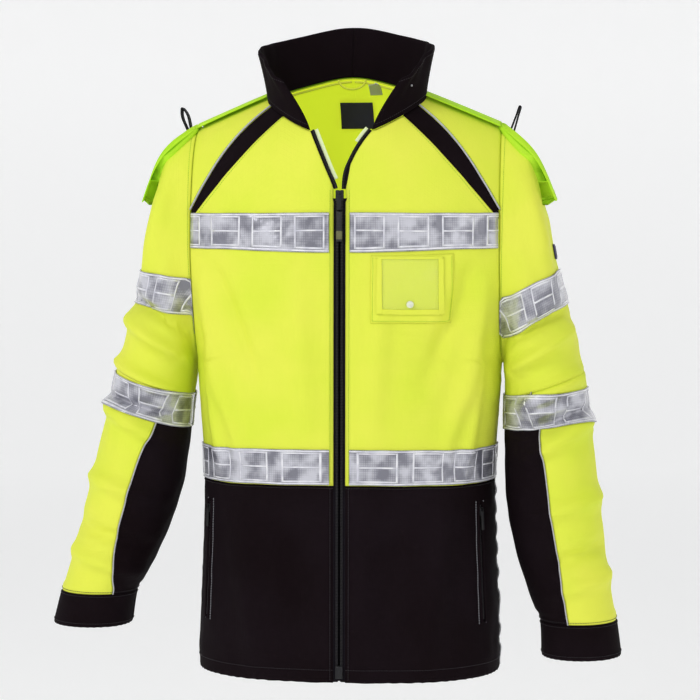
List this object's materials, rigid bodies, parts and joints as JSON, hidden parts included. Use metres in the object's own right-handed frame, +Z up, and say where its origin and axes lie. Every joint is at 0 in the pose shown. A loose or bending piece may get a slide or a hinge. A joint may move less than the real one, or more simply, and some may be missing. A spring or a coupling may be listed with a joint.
{
  "type": "high-visibility safety jacket",
  "caption": "Hip-length raglan jacket with reflective bands, a stand collar, a vented back cape, a front zip, zipped hand pockets and a clear badge window.",
  "frame": {"origin": "centre of the hang loop inside the back of the neck", "axes": "+Z up, -Y the wearer's front, +X the wearer's left"},
  "size_m": [0.835, 0.3108, 0.9407],
  "materials": {
    "black_fabric": "woven polyester, matte",
    "clear_vinyl": "clear flexible vinyl",
    "hi_vis_fabric": "woven polyester, fluorescent",
    "label": "blank woven label",
    "lining": "mesh and taffeta lining",
    "pull": "moulded cord end",
    "reflective": "glossy vinyl over glass-bead reflective grid",
    "snap": "white press stud",
    "webbing": "webbing",
    "white_label": "blank woven label",
    "zip_metal": "black enamel",
    "zip_tape": "woven zip tape"
  },
  "bodies": {
    "coat_body": {"back_cape": "hi_vis_fabric", "back_lower": "black_fabric", "back_panel": "hi_vis_fabric", "back_waist_band": "reflective", "collar_facing": "black_fabric", "collar_outer": "black_fabric", "hang_loop": "hi_vis_fabric", "id_pocket_panel": "hi_vis_fabric", "left_chest_band": "reflective", "left_front_facing": "lining", "left_front_lower": "black_fabric", "left_front_panel": "hi_vis_fabric", "left_pocket_bag": "lining", "left_pocket_zip": "zip_tape", "left_shoulder_inset": "black_fabric", "left_shoulder_panel": "hi_vis_fabric", "left_waist_band": "reflective", "left_zip_chain": "zip_metal", "left_zip_tape": "zip_tape", "neck_label": "label", "right_chest_band": "reflective", "right_front_facing": "lining", "right_front_lower": "black_fabric", "right_front_panel": "hi_vis_fabric", "right_pocket_bag": "lining", "right_pocket_zip": "zip_tape", "right_shoulder_inset": "black_fabric", "right_shoulder_panel": "hi_vis_fabric", "right_waist_band": "reflective", "right_zip_chain": "zip_metal", "right_zip_tape": "zip_tape", "size_label": "white_label", "zip_retainer_box": "zip_metal"},
    "right_sleeve": {"right_sleeve_top": "hi_vis_fabric", "right_sleeve_outer": "hi_vis_fabric", "right_sleeve_under": "black_fabric", "right_cuff": "black_fabric", "right_upper_sleeve_band": "reflective", "right_lower_sleeve_band": "reflective", "right_cape_wing": "hi_vis_fabric"},
    "right_mic_tab": {"right_mic_tab": "webbing"},
    "right_pocket_slider": {"right_pocket_slider": "zip_metal", "right_pocket_pull": "pull"},
    "left_sleeve": {"left_sleeve_top": "hi_vis_fabric", "left_sleeve_outer": "hi_vis_fabric", "left_sleeve_under": "black_fabric", "left_cuff": "black_fabric", "left_upper_sleeve_band": "reflective", "left_lower_sleeve_band": "reflective", "left_cape_wing": "hi_vis_fabric", "sleeve_patch": "label"},
    "left_mic_tab": {"left_mic_tab": "webbing"},
    "left_pocket_slider": {"left_pocket_slider": "zip_metal", "left_pocket_pull": "pull"},
    "zip_slider": {"zip_slider": "zip_metal"},
    "zip_pull_tab": {"zip_pull_tab": "zip_metal"},
    "zip_puller": {"zip_puller": "pull"},
    "id_window": {"id_window": "clear_vinyl", "id_snap_cap": "snap"}
  },
  "joints": [
    {"name": "right_sleeve_lift", "type": "hinge", "parent": "coat_body", "child": "right_sleeve", "pos_m": [-0.222, -0.032, -0.04882], "axis": [0, 1, 0], "range_deg": [0, 25]},
    {"name": "left_sleeve_lift", "type": "hinge", "parent": "coat_body", "child": "left_sleeve", "pos_m": [0.222, -0.032, -0.04882], "axis": [0, -1, 0], "range_deg": [0, 25]},
    {"name": "zip_slide", "type": "slide", "parent": "coat_body", "child": "zip_slider", "axis": [0, 0.014, 0.9999], "range_m": [-0.64, 0]},
    {"name": "zip_tab_swing", "type": "hinge", "parent": "zip_slider", "child": "zip_pull_tab", "pos_m": [0, -0.17699, -0.15932], "axis": [-1, 0, 0], "range_deg": [0, 150]},
    {"name": "zip_puller_swing", "type": "hinge", "parent": "zip_pull_tab", "child": "zip_puller", "pos_m": [0, -0.17729, -0.18112], "axis": [-1, 0, 0], "range_deg": [0, 90]},
    {"name": "id_window_lift", "type": "hinge", "parent": "coat_body", "child": "id_window", "pos_m": [0.09859, -0.17182, -0.24282], "axis": [-0.9889, -0.1485, 0], "range_deg": [0, 110]},
    {"name": "right_mic_tab_bend", "type": "hinge", "parent": "coat_body", "child": "right_mic_tab", "pos_m": [-0.24, -0.028, -0.04982], "axis": [0, -1, 0], "range_deg": [0, 60], "stiffness_Nm_per_rad": 0.005},
    {"name": "right_pocket_slide", "type": "slide", "parent": "coat_body", "child": "right_pocket_slider", "axis": [0.0332, 0.0072, 0.9994], "range_m": [-0.135, 0]},
    {"name": "left_mic_tab_bend", "type": "hinge", "parent": "coat_body", "child": "left_mic_tab", "pos_m": [0.24, -0.028, -0.04982], "axis": [0, 1, 0], "range_deg": [0, 60], "stiffness_Nm_per_rad": 0.005},
    {"name": "left_pocket_slide", "type": "slide", "parent": "coat_body", "child": "left_pocket_slider", "axis": [-0.0332, 0.0072, 0.9994], "range_m": [-0.135, 0]}
  ]
}
